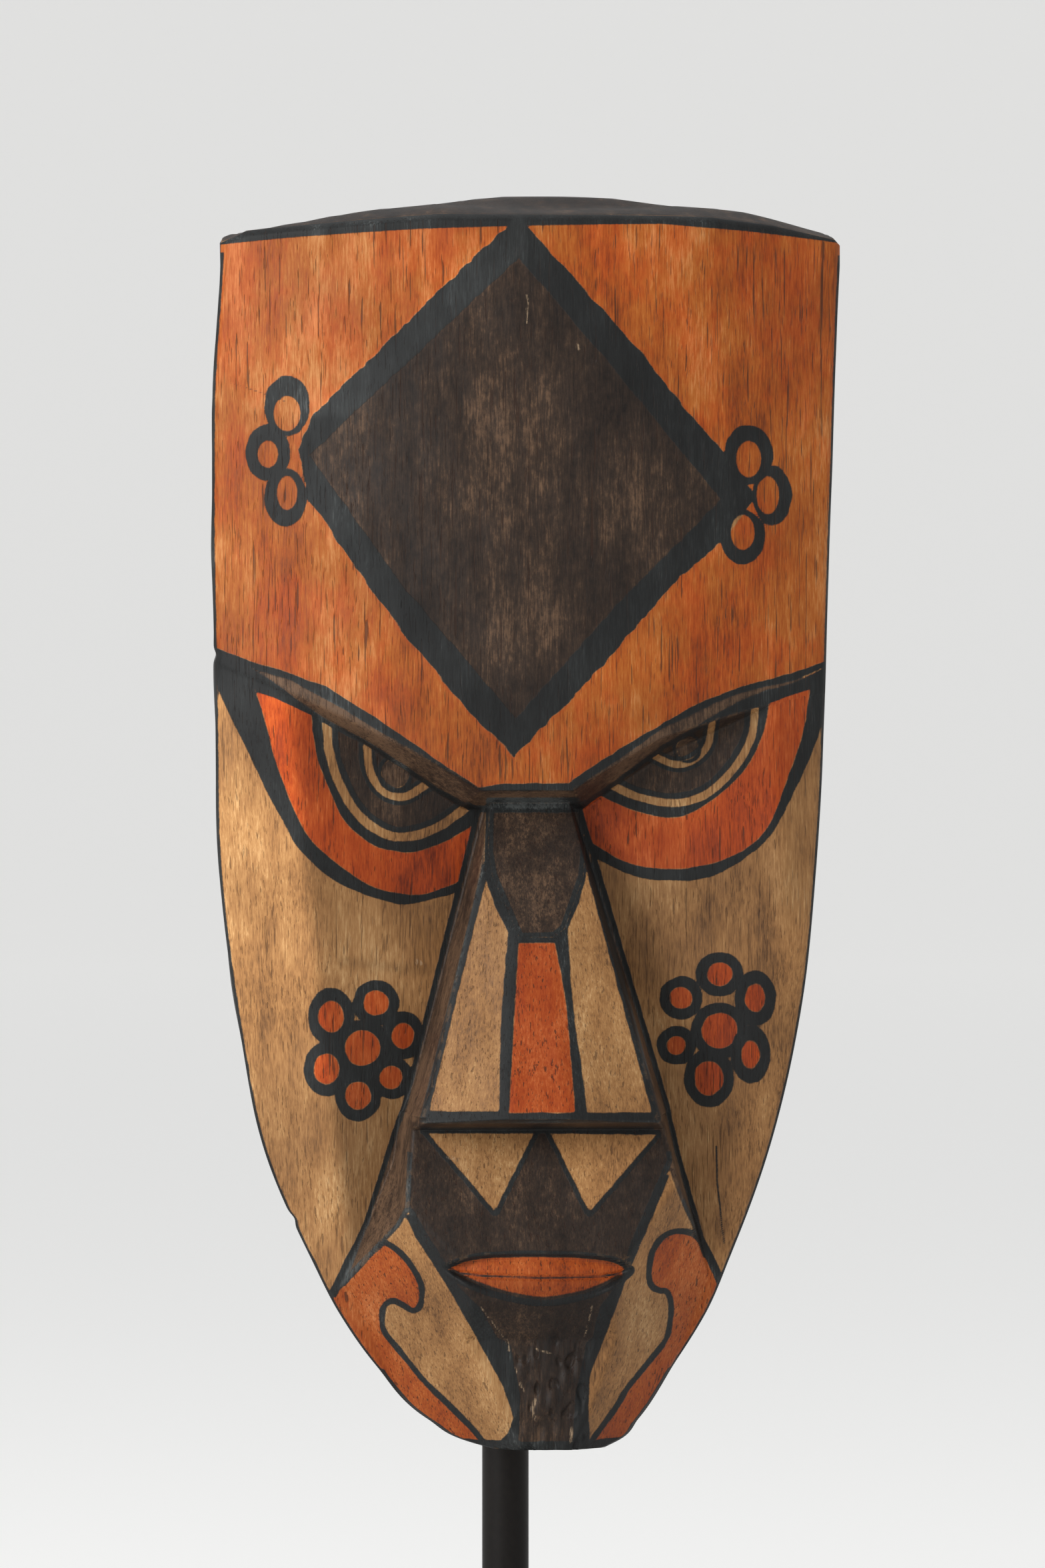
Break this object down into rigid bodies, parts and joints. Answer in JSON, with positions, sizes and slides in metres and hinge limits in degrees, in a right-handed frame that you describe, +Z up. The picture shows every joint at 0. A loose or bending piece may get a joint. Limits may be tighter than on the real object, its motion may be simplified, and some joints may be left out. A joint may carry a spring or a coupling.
{
  "type": "carved wooden face mask on a display stand",
  "caption": "Tall shield-shaped wooden face mask with carved planes and painted geometric patterns, turning and sliding on a round post with a heavy base.",
  "frame": {"origin": "centre of the base's underside, on the surface that the stand rests on", "axes": "+Z up along the post, -Y the way the mask looks, +X to the viewer's right"},
  "size_m": [0.2115, 0.19, 0.54],
  "materials": {
    "painted_wood": "open-pored wood, stained and painted by hand, worn and waxed",
    "raw_wood": "planed, unfinished",
    "stained_wood": "stained dark, waxed",
    "black_steel": "satin black-brown paint",
    "dark_steel": "blackened",
    "zinc_steel": "zinc plated",
    "brass": "dull, handled",
    "felt": "pressed felt"
  },
  "bodies": {
    "root": {"base_plate": "black_steel", "post_boss": "black_steel", "post": "black_steel", "post_bolt": "zinc_steel", "bolt_washer": "zinc_steel", "base_felt": "felt"},
    "collar": {"stop_collar": "black_steel", "thrust_washer": "brass"},
    "clamp": {"collar_screw": "brass"},
    "head": {"mask": "painted_wood", "cross_rail": "raw_wood", "rail_screws": "brass", "socket_block": "stained_wood", "socket_bolts": "dark_steel", "socket_nuts": "zinc_steel"}
  },
  "joints": [
    {"name": "height_slide", "type": "slide", "parent": "root", "child": "collar", "axis": [0, 0, 1], "range_m": [-0.04, 0.04]},
    {"name": "mask_swivel", "type": "hinge", "parent": "collar", "child": "head", "pos_m": [0, 0.03, 0.328], "axis": [0, 0, 1], "continuous": true},
    {"name": "screw_turn", "type": "hinge", "parent": "collar", "child": "clamp", "pos_m": [0, 0.05, 0.3195], "axis": [0, 1, 0], "continuous": true}
  ]
}
